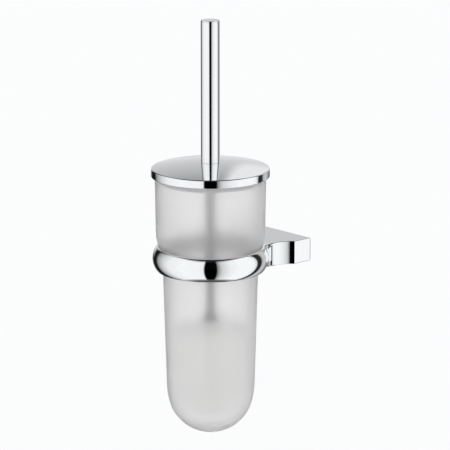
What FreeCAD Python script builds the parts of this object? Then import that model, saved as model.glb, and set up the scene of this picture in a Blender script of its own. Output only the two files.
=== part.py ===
import FreeCAD, Part

import math
import os

import Sketcher

# A wall-hung toilet brush set: a cast bracket and ring carry a frosted glass, with a lidded brush in it.
# Millimetres. The origin is on the wall at the bracket's centre, +Z up, -Y out into the room.
# Each piece is drawn about the glass's own axis and then moved out from the wall by axis_reach.

SIZES = (
    # where the glass stands
    ("axis_reach", 92.0),  # wall to the glass's axis
    ("lift_gap", 0.3),  # between pieces that lift apart
    ("fit_gap", 0.05),  # between pieces that are fitted once
    # glass
    ("waist_radius", 44.7),  # outside, where the ring holds it
    ("shoulder_step", 6.1),  # how far the upper part stands out past the waist
    ("upper_lean", 0.84),  # degrees, outwards going up
    ("lower_taper", 1.58),  # degrees, inwards going down
    ("belly_arc", 37.0),
    ("waist_arc", 18.0),
    ("seat_depth", 2.6),  # ring's top down to where the belly turns into the waist
    ("glass_rise", 81.3),  # ring's centre up to the rim
    ("glass_drop", 168.8),  # ring's centre down to the bottom
    ("glass_wall", 3.5),
    ("knuckle_arc", 70.0),
    ("knuckle_step", 1.0),  # how far the round bottom lies inside the wall's line
    # ring and its plastic liner
    ("ring_height", 22.4),
    ("ring_wall", 5.45),
    ("ring_edge", 2.4),
    ("ring_land", 0.1),  # flat left at the top of the bore
    ("ring_lip", 1.4),  # ledge under the liner, its height
    ("ring_lip_width", 1.8),
    ("liner_wall", 3.6),  # at the waist
    ("liner_drop", 1.8),  # ring's top down to the liner's top
    ("spigot_radius", 7.0),
    ("spigot_length", 7.0),
    ("tapping_depth", 8.0),
    # bracket
    ("bracket_width", 80.6),
    ("bracket_step", 0.1),  # how much lower the bracket is than the ring, above and below
    ("flank_depth", 21.9),
    ("side_angle", 46.5),  # degrees, the sides' slope where they leave the flanks
    ("side_arc", 28.0),  # hollow of the sides between there and the throat
    ("throat_radius", 20.0),  # hollow where each side runs into the ring
    ("throat_sink", 0.5),  # how far that hollow runs into the ring
    ("wall_edge", 2.4),  # rounding of the edges along the wall
    ("shell_wall", 3.5),
    # wall plate
    ("plate_gap", 0.6),
    ("plate_thickness", 3.0),
    ("lip_depth", 6.0),
    ("lip_width", 30.0),
    ("lip_thickness", 2.2),
    ("head_room", 0.6),  # between the lip and the head of the ring's screw
    ("wall_screw_spacing", 40.0),
    ("wall_screw_hole", 2.6),
    # fasteners with a 5 mm thread
    ("thread_radius", 2.5),
    ("clear_radius", 2.75),
    ("key_width", 4.0),  # across the flats of the ring screw's socket
    ("key_depth", 2.5),
    ("head_radius", 4.25),
    ("head_height", 5.0),
    ("thread_bite", 5.5),
    ("thread_lead", 0.5),  # chamfer at the end of a screw
    ("spring_washer", 1.0),
    ("grub_recess", 0.4),
    ("grub_key_width", 2.5),
    ("grub_key_depth", 2.0),
    # lid
    ("rim_gap", 2.17),  # glass to the lid's band
    ("lid_wall", 1.2),
    ("lid_cover", 3.2),  # how far the band hangs below the glass's rim
    ("band_height", 7.4),
    ("dome_rise", 5.4),
    ("lid_edge", 0.6),
    ("lid_plate", 3.0),  # lid liner's thickness
    ("lid_boss", 1.0),  # how far its middle stands down under that
    ("lid_boss_margin", 2.1),  # and how far it reaches past its washer
    ("skirt_wall", 2.0),
    ("skirt_drop", 8.5),
    ("skirt_gap", 1.0),
    # handle
    ("handle_radius", 8.7),
    ("handle_wall", 1.2),
    ("handle_length", 132.5),
    ("cap_thickness", 1.5),
    ("cap_plug", 6.0),
    ("cap_round", 0.5),
    ("insert_length", 14.0),
    # stem, its threads and what they hold
    ("stem_radius", 5.0),
    ("stem_thread", 4.0),
    ("thread_depth", 12.0),
    ("nut_flats", 13.0),
    ("nut_height", 5.0),
    ("lid_washer_radius", 8.4),
    ("lid_washer_height", 1.4),
    ("head_washer_height", 1.2),
    ("head_washer_radius", 8.0),
    ("running_gap", 0.05),
    # brush head
    ("thread_travel", 10.0),  # how far the head comes down as it is unscrewed
    ("floor_gap", 3.0),  # left under it then
    ("bristle_gap", 2.0),
    ("head_length", 93.0),
    ("core_radius", 9.0),
    ("neck_length", 6.0),  # bare core above the bristles
    ("core_round", 3.0),
    ("core_end", 12.0),  # bristles past the core's end
    ("core_insert_radius", 6.2),
)

TOLERANCE = 0.001
LEAST_CUT = 1.0  # cubic millimetres

document = FreeCAD.newDocument("brush_set")
sheet = document.addObject("Spreadsheet::Sheet", "Sizes")
for row, (alias, number) in enumerate(SIZES, start=1):
    sheet.set(f"A{row}", alias)
    sheet.set(f"B{row}", str(number))
    sheet.setAlias(f"B{row}", alias)
document.recompute()


class Size(float):
    """A length that also keeps the sheet expression it comes from."""

    def __new__(cls, number, words):
        size = super().__new__(cls, number)
        size.words = words
        return size

    @staticmethod
    def words_of(other):
        return other.words if isinstance(other, Size) else repr(float(other))

    def __add__(self, other):
        return Size(float(self) + float(other), f"({self.words} + {self.words_of(other)})")

    def __radd__(self, other):
        return Size(float(other) + float(self), f"({self.words_of(other)} + {self.words})")

    def __sub__(self, other):
        return Size(float(self) - float(other), f"({self.words} - {self.words_of(other)})")

    def __rsub__(self, other):
        return Size(float(other) - float(self), f"({self.words_of(other)} - {self.words})")

    def __mul__(self, other):
        return Size(float(self) * float(other), f"({self.words} * {self.words_of(other)})")

    def __truediv__(self, other):
        return Size(float(self) / float(other), f"({self.words} / {self.words_of(other)})")

    def __neg__(self):
        return Size(-float(self), f"(-{self.words})")


def size(alias):
    return Size(sheet.get(alias), f"Sizes.{alias}")


def bind(feature, setting, length):
    """Sets a size, and ties it to the sheet if it comes from there."""
    if isinstance(length, Size):
        feature.setExpression(setting, length.words)
    else:
        setattr(feature, setting, length)


def piece(name):
    """An empty body for one piece, standing on the glass's axis."""
    body = document.addObject("PartDesign::Body", name)
    body.Label = name
    body.setExpression("Placement.Base.y", "-Sizes.axis_reach")
    return body


def sketch_on(body, role, height=0.0):
    """An empty sketch on one of the body's own planes, height above it."""
    sketch = body.newObject("Sketcher::SketchObject", f"{body.Name}_sketch")
    plane = next(f for f in body.Origin.OriginFeatures if f.Role == role)
    sketch.AttachmentSupport = [(plane, "")]
    sketch.MapMode = "FlatFace"
    if isinstance(height, Size):
        sketch.setExpression("AttachmentOffset.Base.z", height.words)
    return sketch


def tie(sketch, kind, edge, point, length):
    """Holds an edge's point, or an arc's radius, at a length from the sheet."""
    if not isinstance(length, Size):
        return
    if kind == "Radius":
        index = sketch.addConstraint(Sketcher.Constraint(kind, edge, float(length)))
    else:
        index = sketch.addConstraint(Sketcher.Constraint(kind, -1, 1, edge, point, float(length)))
    sketch.setExpression(f"Constraints[{index}]", length.words)


def arc_centre(start, end, radius):
    """Centre of the smaller arc from start to end: on its left if radius is positive, on its right if not."""
    (x0, y0), (x1, y1) = start, end
    half = math.hypot(x1 - x0, y1 - y0) / 2
    side = math.copysign(math.sqrt(radius * radius - half * half), radius)
    return (x0 + x1) / 2 - side * (y1 - y0) / (2 * half), (y0 + y1) / 2 + side * (x1 - x0) / (2 * half)


def draw_outline(sketch, corners):
    """Draws a closed outline. A corner is (x, y), or (x, y, radius) where an arc leads on to the next."""
    count = len(corners)
    for edge, corner in enumerate(corners):
        start = tuple(float(v) for v in corner[:2])
        end = tuple(float(v) for v in corners[(edge + 1) % count][:2])
        if len(corner) == 2:
            sketch.addGeometry(Part.LineSegment(FreeCAD.Vector(*start, 0), FreeCAD.Vector(*end, 0)))
            continue
        radius = float(corner[2])
        centre = arc_centre(start, end, radius)
        turn = [math.atan2(y - centre[1], x - centre[0]) for x, y in (start, end)]
        circle = Part.Circle(FreeCAD.Vector(*centre, 0), FreeCAD.Vector(0, 0, 1), abs(radius))
        if radius < 0:
            turn.reverse()
        if turn[1] < turn[0]:
            turn[1] += 2 * math.pi
        sketch.addGeometry(Part.ArcOfCircle(circle, *turn))
    for edge in range(count):
        following = (edge + 1) % count
        last = 1 if len(corners[edge]) == 3 and corners[edge][2] < 0 else 2
        first = 2 if len(corners[following]) == 3 and corners[following][2] < 0 else 1
        sketch.addConstraint(Sketcher.Constraint("Coincident", edge, last, following, first))
    for edge, corner in enumerate(corners):
        point = 2 if len(corner) == 3 and corner[2] < 0 else 1
        tie(sketch, "DistanceX", edge, point, corner[0])
        tie(sketch, "DistanceY", edge, point, corner[1])
        if len(corner) == 3:
            tie(sketch, "Radius", edge, 0, corner[2] if corner[2] > 0 else -corner[2])


def draw_circle(sketch, x, y, radius):
    centre = FreeCAD.Vector(float(x), float(y), 0)
    edge = sketch.addGeometry(Part.Circle(centre, FreeCAD.Vector(0, 0, 1), float(radius)))
    tie(sketch, "DistanceX", edge, 3, x)
    tie(sketch, "DistanceY", edge, 3, y)
    tie(sketch, "Radius", edge, 0, radius)


def rectangle(left, right, bottom, top):
    return [(left, bottom), (right, bottom), (right, top), (left, top)]


def turned(body, corners, feature_type="PartDesign::Revolution"):
    """Adds or cuts a shape turned about the body's Z axis, from its half outline in radius and height."""
    sketch = sketch_on(body, "XZ_Plane")
    draw_outline(sketch, corners)
    feature = body.newObject(feature_type, f"{body.Name}_turned")
    feature.Profile = sketch
    feature.ReferenceAxis = (sketch, ["V_Axis"])
    feature.Angle = 360
    document.recompute()
    return feature


def padded(body, sketch, length, backwards=False, midplane=False):
    pad = body.newObject("PartDesign::Pad", f"{body.Name}_pad")
    pad.Profile = sketch
    bind(pad, "Length", length)
    pad.Reversed = backwards
    pad.Midplane = midplane
    document.recompute()
    return pad


def pocketed(body, sketch, length, backwards=False):
    """Cuts a pocket and checks that it took something away."""
    before = body.Shape.Volume
    pocket = body.newObject("PartDesign::Pocket", f"{body.Name}_pocket")
    pocket.Profile = sketch
    bind(pocket, "Length", length)
    pocket.Reversed = backwards
    document.recompute()
    if body.Shape.Volume > before - LEAST_CUT:
        raise RuntimeError(f"{pocket.Name} cuts nothing")
    return pocket


def sine(degrees):
    return math.sin(math.radians(degrees))


def cosine(degrees):
    return math.cos(math.radians(degrees))


def hexagon(flats):
    """Corners of a hexagon about the origin, by its width across the flats."""
    corner = float(flats) / 2 / cosine(30)
    return [(corner * cosine(turn), corner * sine(turn)) for turn in range(0, 360, 60)]


# ---- the glass's outline, which the ring, the liners, the lid and the brush head all follow ----

ring_top = size("ring_height") / 2
turn_height = ring_top - size("seat_depth")
rim_top = size("glass_rise")
lean, taper = size("upper_lean"), size("lower_taper")
shoulder_radius = size("waist_radius") + size("shoulder_step")


def glass_points(offset):
    """Key points of the outline, offset outwards from the glass's outer face."""
    belly, waist, knuckle = (float(size(name)) for name in ("belly_arc", "waist_arc", "knuckle_arc"))
    drop, step = float(size("glass_drop")), float(size("knuckle_step"))
    out, up = cosine(lean), sine(lean)
    down_out, down_up = cosine(taper), sine(taper)
    turn_out = (belly * out + waist * down_out - float(size("shoulder_step"))) / (belly + waist)
    turn_down = math.sqrt(1 - turn_out * turn_out)
    belly_centre = float(shoulder_radius) - belly * out, float(turn_height) + belly * turn_down
    turn = belly_centre[0] + (belly + offset) * turn_out, belly_centre[1] - (belly + offset) * turn_down
    waist_centre = (
        belly_centre[0] + (belly + waist) * turn_out,
        belly_centre[1] - (belly + waist) * turn_down,
    )
    line = (waist_centre[0] - waist * down_out) * down_out - (waist_centre[1] + waist * down_up) * down_up
    bowl = (line - drop * down_up - step) / (1 - down_up)
    bowl_height = bowl - drop
    reach = knuckle - bowl
    inward = reach - step
    upward = math.sqrt(reach * reach - inward * inward)
    knuckle_centre = (
        upward * down_up - inward * down_out,
        bowl_height + inward * down_up + upward * down_out,
    )
    bowl_way = -knuckle_centre[0] / reach, (bowl_height - knuckle_centre[1]) / reach
    return {
        "shoulder": (belly_centre[0] + (belly + offset) * out, belly_centre[1] - (belly + offset) * up),
        "turn": turn,
        "waist": (
            waist_centre[0] - (waist - offset) * down_out,
            waist_centre[1] + (waist - offset) * down_up,
        ),
        "knuckle": (
            knuckle_centre[0] + (knuckle + offset) * down_out,
            knuckle_centre[1] - (knuckle + offset) * down_up,
        ),
        "bowl": ((bowl + offset) * bowl_way[0], bowl_height + (bowl + offset) * bowl_way[1]),
        "bowl_height": bowl_height,
        "bowl_radius": bowl + offset,
        "belly_centre": belly_centre,
        "belly_radius": belly + offset,
        "waist_radius": waist - offset,
        "knuckle_radius": knuckle + offset,
    }


def upper_wall_at(points, height):
    """Radius of the straight upper wall at a height."""
    x, z = points["shoulder"]
    return x + (float(height) - z) * math.tan(math.radians(lean))


def belly_at(points, height):
    """Radius of the belly's round at a height."""
    rise = points["belly_centre"][1] - float(height)
    return points["belly_centre"][0] + math.sqrt(points["belly_radius"] ** 2 - rise * rise)


def lower_wall_at(points, height):
    """Radius of the straight lower wall at a height."""
    x, z = points["waist"]
    return x + (float(height) - z) * math.tan(math.radians(taper))


outside = glass_points(0.0)
inside = glass_points(-float(size("glass_wall")))
liner_face = glass_points(float(size("lift_gap")))
rim_radius = upper_wall_at(outside, rim_top)

# ---- glass ----

glass = piece("glass_tumbler")
turned(
    glass,
    [
        (upper_wall_at(inside, rim_top), rim_top),
        (*inside["shoulder"], -inside["belly_radius"]),
        (*inside["turn"], inside["waist_radius"]),
        inside["waist"],
        (*inside["knuckle"], -inside["knuckle_radius"]),
        (*inside["bowl"], -inside["bowl_radius"]),
        (0.0, inside["bowl_height"] - inside["bowl_radius"]),
        (0.0, outside["bowl_height"] - outside["bowl_radius"], outside["bowl_radius"]),
        (*outside["bowl"], outside["knuckle_radius"]),
        outside["knuckle"],
        (*outside["waist"], -outside["waist_radius"]),
        (*outside["turn"], outside["belly_radius"]),
        outside["shoulder"],
        (rim_radius, rim_top),
    ],
)

# ---- ring, with the spigot that plugs into the bracket ----

ring_bore = size("waist_radius") + size("lift_gap") + size("liner_wall")
ring_outer = ring_bore + size("ring_wall")
edge_radius = ring_bore + size("ring_land")
spigot_end = ring_outer + size("spigot_length")


def ring_swell(offset=0.0):
    """The ring's bulging outer face from its foot to its top, offset outwards."""
    edge = size("ring_edge")
    edge_height = ring_top - edge
    swell = float(ring_outer - edge_radius)
    bulge = float(swell * swell + edge_height * edge_height - edge * edge) / float(2 * (swell - edge))
    share = (bulge + offset) / (bulge - edge)
    bulge_centre = float(ring_outer) - bulge
    x, z = bulge_centre + (float(edge_radius) - bulge_centre) * share, float(edge_height) * share
    return [
        (edge_radius, -ring_top - offset, edge + offset),
        (x, -z, bulge + offset),
        (x, z, edge + offset),
        (edge_radius, ring_top + offset),
    ]


ring = piece("glass_ring")
turned(
    ring,
    [
        (ring_bore, ring_top),
        (ring_bore, -ring_top + size("ring_lip")),
        (ring_bore - size("ring_lip_width"), -ring_top + size("ring_lip")),
        (ring_bore - size("ring_lip_width"), -ring_top),
        *ring_swell(),
    ],
)
spigot = sketch_on(ring, "XZ_Plane", -spigot_end)
draw_circle(spigot, 0.0, 0.0, size("spigot_radius"))
padded(ring, spigot, size("spigot_length") + size("ring_wall") / 2)
tapping = sketch_on(ring, "XZ_Plane", -spigot_end)
draw_circle(tapping, 0.0, 0.0, size("thread_radius"))
pocketed(ring, tapping, size("tapping_depth"), backwards=True)

liner = piece("ring_liner")
liner_top = ring_top - size("liner_drop")
liner_foot = -ring_top + size("ring_lip")
liner_outer = ring_bore - size("fit_gap")
turned(
    liner,
    [
        (liner_outer, liner_foot),
        (liner_outer, liner_top),
        (belly_at(liner_face, liner_top), liner_top, -liner_face["belly_radius"]),
        (*liner_face["turn"], liner_face["waist_radius"]),
        liner_face["waist"],
        (lower_wall_at(liner_face, liner_foot), liner_foot),
    ],
)

# ---- bracket ----


def mirrored(path):
    """The same path on the other side of the middle plane, drawn from its end to its start."""
    arcs = [corner[2:] for corner in path]
    return [(-corner[0], corner[1], *arc) for corner, arc in zip(path[::-1], [*arcs[-2::-1], ()])]


wall = size("axis_reach")
bracket_height = size("ring_height") - size("bracket_step") * 2
lip_reach = size("plate_thickness") + size("lip_depth")
cavity_depth = lip_reach + size("head_room") + size("head_height") + size("spring_washer")
half_width = size("bracket_width") / 2
flank_end = wall - size("flank_depth")
throat, side_arc = float(size("throat_radius")), float(size("side_arc"))
ring_reach = float(ring_outer - size("throat_sink"))
throat_reach = ring_reach + throat
side_centre = (
    float(half_width) + side_arc * cosine(size("side_angle")),
    float(flank_end) - side_arc * sine(size("side_angle")),
)
side_run = side_centre[0] - side_arc
throat_centre = (side_run + throat, math.sqrt(throat_reach**2 - (side_run + throat) ** 2))
if throat_centre[1] < side_centre[1]:
    # the ring is so far out that a side is square to the wall before its throat, and runs straight on
    side_path = [(side_run, throat_centre[1]), (side_run, side_centre[1], -side_arc)]
else:
    side_reach = math.hypot(*side_centre)
    side_turn = math.acos(
        (side_reach**2 + throat_reach**2 - (side_arc - throat) ** 2) / (2 * side_reach * throat_reach)
    )
    throat_turn = math.atan2(side_centre[1], side_centre[0]) + side_turn
    throat_centre = (throat_reach * math.cos(throat_turn), throat_reach * math.sin(throat_turn))
    side_share = side_arc / (side_arc - throat)
    side_end = (
        side_centre[0] + (throat_centre[0] - side_centre[0]) * side_share,
        side_centre[1] + (throat_centre[1] - side_centre[1]) * side_share,
    )
    side_path = [(*side_end, -side_arc)]
ring_share = ring_reach / throat_reach
throat_end = (throat_centre[0] * ring_share, throat_centre[1] * ring_share)
side_path = [(*throat_end, -throat), *side_path, (half_width, flank_end)]
inner_reach = ring_bore / 2

bracket = piece("wall_bracket")
plan = sketch_on(bracket, "XY_Plane")
draw_outline(
    plan,
    [
        (-half_width, wall),
        *mirrored(side_path),
        (-throat_end[0], inner_reach),
        (throat_end[0], inner_reach),
        *side_path,
        (half_width, wall),
    ],
)
slab = padded(bracket, plan, bracket_height, midplane=True)
wall_edges = [
    f"Edge{number}"
    for number, line in enumerate(bracket.Shape.Edges, start=1)
    if all(abs(v.Point.y) < TOLERANCE for v in line.Vertexes)
    and abs(line.Vertexes[0].Point.z - line.Vertexes[1].Point.z) < TOLERANCE
]
rounding = bracket.newObject("PartDesign::Fillet", "wall_bracket_rounding")
rounding.Base = (slab, wall_edges)
bind(rounding, "Radius", size("wall_edge"))
document.recompute()
beyond = ring_top * 2
seam = size("fit_gap")
turned(
    bracket,
    [
        (0.0, -beyond),
        (edge_radius, -beyond),
        *ring_swell(seam),
        (edge_radius, beyond),
        (0.0, beyond),
    ],
    "PartDesign::Groove",
)
cavity = sketch_on(bracket, "XZ_Plane", -wall)
cavity_half = half_width - size("shell_wall")
cavity_top = bracket_height / 2 - size("shell_wall")
draw_outline(cavity, rectangle(-cavity_half, cavity_half, -cavity_top, cavity_top))
pocketed(bracket, cavity, cavity_depth, backwards=True)
spigot_bore = sketch_on(bracket, "XZ_Plane", -spigot_end - size("lift_gap"))
draw_circle(spigot_bore, 0.0, 0.0, size("spigot_radius") + size("fit_gap"))
pocketed(bracket, spigot_bore, size("spigot_length") + size("ring_wall"), backwards=True)
screw_hole = sketch_on(bracket, "XZ_Plane", -wall + cavity_depth)
draw_circle(screw_hole, 0.0, 0.0, size("clear_radius"))
pocketed(bracket, screw_hole, wall - cavity_depth - spigot_end, backwards=True)
grub_place = wall - size("plate_thickness") - size("lip_depth") / 2
grub_hole = sketch_on(bracket, "XY_Plane", -bracket_height / 2)
draw_circle(grub_hole, 0.0, grub_place, size("thread_radius"))
pocketed(bracket, grub_hole, size("shell_wall") + size("plate_gap"), backwards=True)

# ---- wall plate, which the bracket hooks over ----

plate = piece("wall_plate")
plate_half = cavity_half - size("plate_gap")
plate_top = cavity_top - size("plate_gap")
plate_face = sketch_on(plate, "XZ_Plane", -wall)
draw_outline(plate_face, rectangle(-plate_half, plate_half, -plate_top, plate_top))
padded(plate, plate_face, size("plate_thickness"))
lip_half = size("lip_width") / 2
lip_top = -plate_top + size("lip_thickness")
lip = sketch_on(plate, "XZ_Plane", -wall + size("plate_thickness"))
draw_outline(lip, rectangle(-lip_half, lip_half, -plate_top, lip_top))
padded(plate, lip, size("lip_depth"))
wall_holes = sketch_on(plate, "XZ_Plane", -wall)
for side in (-1.0, 1.0):
    draw_circle(wall_holes, size("wall_screw_spacing") * side / 2, 0.0, size("wall_screw_hole"))
pocketed(plate, wall_holes, size("plate_thickness"), backwards=True)

# ---- fasteners of the bracket ----


def socket(body, height, flats, depth, backwards=False):
    """Cuts a hexagon socket into a screw."""
    sketch = sketch_on(body, "XY_Plane", height)
    draw_outline(sketch, hexagon(flats))
    pocketed(body, sketch, depth, backwards)


grub = piece("bracket_grub_screw")
grub.setExpression("Placement.Base.y", (grub_place - wall).words)
grub_foot = -bracket_height / 2 + size("grub_recess")
thread, lead = size("thread_radius"), size("thread_lead")
turned(
    grub,
    [
        (0.0, grub_foot),
        (thread, grub_foot),
        (thread, -plate_top - lead),
        (thread - lead, -plate_top),
        (0.0, -plate_top),
    ],
)
socket(grub, grub_foot, size("grub_key_width"), size("grub_key_depth"), backwards=True)

screw = piece("ring_screw")
screw.Placement = FreeCAD.Placement(FreeCAD.Vector(0, 0, 0), FreeCAD.Rotation(FreeCAD.Vector(1, 0, 0), -90))
screw.setExpression("Placement.Base.y", (-cavity_depth + size("spring_washer")).words)
screw_length = wall - cavity_depth + size("spring_washer") - spigot_end + size("thread_bite")
head, head_height = size("head_radius"), size("head_height")
turned(
    screw,
    [
        (0.0, -screw_length),
        (thread - lead, -screw_length),
        (thread, -screw_length + lead),
        (thread, 0.0),
        (head, 0.0),
        (head, head_height - lead),
        (head - lead, head_height),
        (0.0, head_height),
    ],
)
socket(screw, head_height, size("key_width"), size("key_depth"))

washer = piece("ring_screw_washer")
washer.Placement = screw.Placement
washer.setExpression("Placement.Base.y", (-cavity_depth).words)
turned(washer, rectangle(size("clear_radius"), head, 0.0, size("spring_washer")))

# ---- lid ----

lid_inner = rim_radius + size("rim_gap")
lid_outer = lid_inner + size("lid_wall")
band_foot = rim_top - size("lid_cover")
band_top = band_foot + size("band_height")
seat = band_top + size("dome_rise")
seat_radius = size("handle_radius")
stem_hole = size("stem_thread") + size("lift_gap")
dome_centre = float(seat_radius**2 + seat**2 - lid_outer**2 - band_top**2) / float(2 * (seat - band_top))
dome_radius = math.hypot(seat_radius, float(seat) - dome_centre)


def dome_point(depth, radius):
    """A point on the dome's round, that far below its outer face."""
    return float(radius), dome_centre + math.sqrt((dome_radius - float(depth)) ** 2 - float(radius) ** 2)


shell = piece("lid_shell")
lid_edge, lid_wall = size("lid_edge"), size("lid_wall")
edge_centre = dome_point(lid_edge, lid_outer - lid_edge)
dome_share = dome_radius / (dome_radius - lid_edge)
dome_edge = (edge_centre[0] * dome_share, dome_centre + (edge_centre[1] - dome_centre) * dome_share)
seat_under = seat - lid_wall


def dome_meets(depth, height):
    """The point at a height on the dome's round, that far below its outer face."""
    return math.sqrt((dome_radius - float(depth)) ** 2 - (float(height) - dome_centre) ** 2), height


turned(
    shell,
    [
        (stem_hole, seat_under),
        (*dome_meets(lid_wall, seat_under), -(dome_radius - lid_wall)),
        dome_point(lid_wall, lid_inner),
        (lid_inner, band_foot),
        (lid_outer, band_foot),
        (lid_outer, edge_centre[1], float(lid_edge)),
        (*dome_edge, dome_radius),
        (seat_radius, seat),
        (stem_hole, seat),
    ],
)

plate_under = seat_under - size("lid_plate") - size("lid_boss")
flange_outer = lid_inner - size("lift_gap")
flange_foot = rim_top + size("lift_gap")
skirt_outer = rim_radius - size("glass_wall") - size("skirt_gap")
skirt_inner = skirt_outer - size("skirt_wall")
skirt_foot = rim_top - size("skirt_drop")
liner_depth = lid_wall + size("fit_gap")
plate_depth = liner_depth + size("lid_plate")
lid_washer_radius = size("lid_washer_radius")
boss_radius = lid_washer_radius + size("lid_boss_margin")
turned(
    piece("lid_liner"),
    [
        (stem_hole, plate_under),
        (boss_radius, plate_under),
        (*dome_point(plate_depth, boss_radius), -(dome_radius - plate_depth)),
        dome_point(plate_depth, skirt_inner),
        (skirt_inner, skirt_foot),
        (skirt_outer, skirt_foot),
        (skirt_outer, flange_foot),
        (flange_outer, flange_foot),
        (*dome_point(liner_depth, flange_outer), dome_radius - liner_depth),
        dome_meets(liner_depth, seat_under - size("fit_gap")),
        (stem_hole, seat_under - size("fit_gap")),
    ],
)
lid_washer_foot = plate_under - size("lid_washer_height")
turned(piece("lid_washer"), rectangle(stem_hole, lid_washer_radius, lid_washer_foot, plate_under))

stem_thread = size("stem_thread")
nut = piece("lid_nut")
nut_foot = lid_washer_foot - size("nut_height")
nut_shape = sketch_on(nut, "XY_Plane", nut_foot)
draw_outline(nut_shape, hexagon(size("nut_flats")))
draw_circle(nut_shape, 0.0, 0.0, stem_thread)
padded(nut, nut_shape, size("nut_height"))

# ---- handle ----

handle_radius = size("handle_radius")
handle_bore = handle_radius - size("handle_wall")
handle_top = seat + size("handle_length")
cap_foot = handle_top - size("cap_thickness")
insert_top = seat + size("insert_length")
turned(piece("handle_tube"), rectangle(handle_bore, handle_radius, seat, cap_foot))
turned(piece("handle_insert"), rectangle(stem_thread, handle_bore, seat, insert_top))
cap_round = size("cap_round")
turned(
    piece("handle_cap"),
    [
        (0.0, cap_foot - size("cap_plug")),
        (handle_bore, cap_foot - size("cap_plug")),
        (handle_bore, cap_foot),
        (handle_radius, cap_foot),
        (handle_radius, handle_top - cap_round, float(cap_round)),
        (handle_radius - cap_round, handle_top),
        (0.0, handle_top),
    ],
)

# ---- brush head, screwed on to the stem ----

bristle_radius = inside["bowl_radius"] - size("bristle_gap")
brush_tip = size("glass_wall") + size("floor_gap") + size("thread_travel") - size("glass_drop")
core_top = brush_tip + size("head_length")
stem_foot = core_top + size("head_washer_height")
stem_radius = size("stem_radius")
running_thread = stem_thread - size("running_gap")
spigot_foot = stem_foot - size("thread_depth")
turned(
    piece("brush_stem"),
    [
        (0.0, spigot_foot),
        (running_thread, spigot_foot),
        (running_thread, stem_foot),
        (stem_radius, stem_foot),
        (stem_radius, nut_foot),
        (stem_thread, nut_foot),
        (stem_thread, insert_top),
        (0.0, insert_top),
    ],
)
turned(piece("head_washer"), rectangle(stem_hole, size("head_washer_radius"), core_top, stem_foot))

core_radius, core_round = size("core_radius"), size("core_round")
insert_radius = size("core_insert_radius")
insert_foot = core_top - size("thread_depth")
core_foot = brush_tip + size("core_end")
turned(piece("core_insert"), rectangle(stem_thread, insert_radius, insert_foot, core_top))
turned(
    piece("brush_core"),
    [
        (0.0, core_foot),
        (core_radius - core_round, core_foot, float(core_round)),
        (core_radius, core_foot + core_round),
        (core_radius, core_top),
        (insert_radius, core_top),
        (insert_radius, insert_foot),
        (0.0, insert_foot),
    ],
)
bristles_top = core_top - size("neck_length")
bristles_turn = brush_tip + bristle_radius
turned(piece("side_bristles"), rectangle(core_radius, bristle_radius, bristles_turn, bristles_top))
turned(
    piece("tip_bristles"),
    [
        (0.0, float(brush_tip), float(bristle_radius)),
        (bristle_radius, float(bristles_turn)),
        (core_radius, float(bristles_turn)),
        (core_radius, core_foot + core_round, -float(core_round)),
        (core_radius - core_round, core_foot),
        (0.0, core_foot),
    ],
)

# ---- check every object, then write each piece ----

document.recompute()
for feature in document.Objects:
    if "Invalid" in feature.State or "Error" in feature.State:
        raise RuntimeError(f"{feature.Label} failed: {feature.State}")
bodies = [feature for feature in document.Objects if feature.TypeId == "PartDesign::Body"]
for body in bodies:
    if body.Shape.isNull() or not body.Shape.isValid() or len(body.Shape.Solids) != 1:
        raise RuntimeError(f"{body.Label} is not one good solid")
os.makedirs("parts", exist_ok=True)
for body in bodies:
    body.Shape.exportStep(f"parts/{body.Label}.step")
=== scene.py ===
import math

import bmesh
import bpy
from mathutils import Matrix, Vector


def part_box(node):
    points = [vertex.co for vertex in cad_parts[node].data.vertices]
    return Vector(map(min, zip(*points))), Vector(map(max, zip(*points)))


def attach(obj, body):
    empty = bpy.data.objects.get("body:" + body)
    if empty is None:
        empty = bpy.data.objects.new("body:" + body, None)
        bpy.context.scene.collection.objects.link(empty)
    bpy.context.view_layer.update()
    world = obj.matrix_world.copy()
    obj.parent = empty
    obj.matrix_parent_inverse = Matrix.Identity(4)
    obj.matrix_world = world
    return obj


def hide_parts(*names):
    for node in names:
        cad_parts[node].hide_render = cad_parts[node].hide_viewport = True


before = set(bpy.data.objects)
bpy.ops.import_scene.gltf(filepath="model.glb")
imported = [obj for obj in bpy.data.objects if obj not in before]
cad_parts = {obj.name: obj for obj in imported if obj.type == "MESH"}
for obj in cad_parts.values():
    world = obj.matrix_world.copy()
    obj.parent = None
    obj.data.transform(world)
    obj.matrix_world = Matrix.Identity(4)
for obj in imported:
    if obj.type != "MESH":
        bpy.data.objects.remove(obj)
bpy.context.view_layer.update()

# ---- Where the set hangs, and the view of it ----
# The wall is the plane y = 0 and the glass's axis stands in front of it. The view is from the front
# right and a little above, from far enough away that upright lines stay upright.

glass_low, glass_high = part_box("glass_tumbler")
AXIS = Vector(((glass_low.x + glass_high.x) / 2, (glass_low.y + glass_high.y) / 2, 0))
VIEW_AZIMUTH = math.radians(47.5)
VIEW_ELEVATION = math.radians(13.87)
VIEW_DISTANCE = 2.4
VIEW_LENS = 206.15
VIEW_ASIDE = 0.01347
VIEW_ABOVE = 0.03017

to_view = Vector((math.sin(VIEW_AZIMUTH), -math.cos(VIEW_AZIMUTH), 0))
view_right = Vector((math.cos(VIEW_AZIMUTH), math.sin(VIEW_AZIMUTH), 0))
view_back = to_view * math.cos(VIEW_ELEVATION) + Vector((0, 0, math.sin(VIEW_ELEVATION)))
view_up = view_back.cross(view_right)
camera = bpy.data.objects.new("camera", bpy.data.cameras.new("camera"))
bpy.context.scene.collection.objects.link(camera)
camera.data.sensor_width = 36.0
camera.data.lens = VIEW_LENS
camera.location = AXIS + view_back * VIEW_DISTANCE + view_right * VIEW_ASIDE + view_up * VIEW_ABOVE
camera.rotation_euler = Matrix((view_right, view_up, view_back)).transposed().to_euler()
bpy.context.scene.camera = camera
bpy.context.scene.view_settings.view_transform = "Standard"

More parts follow.
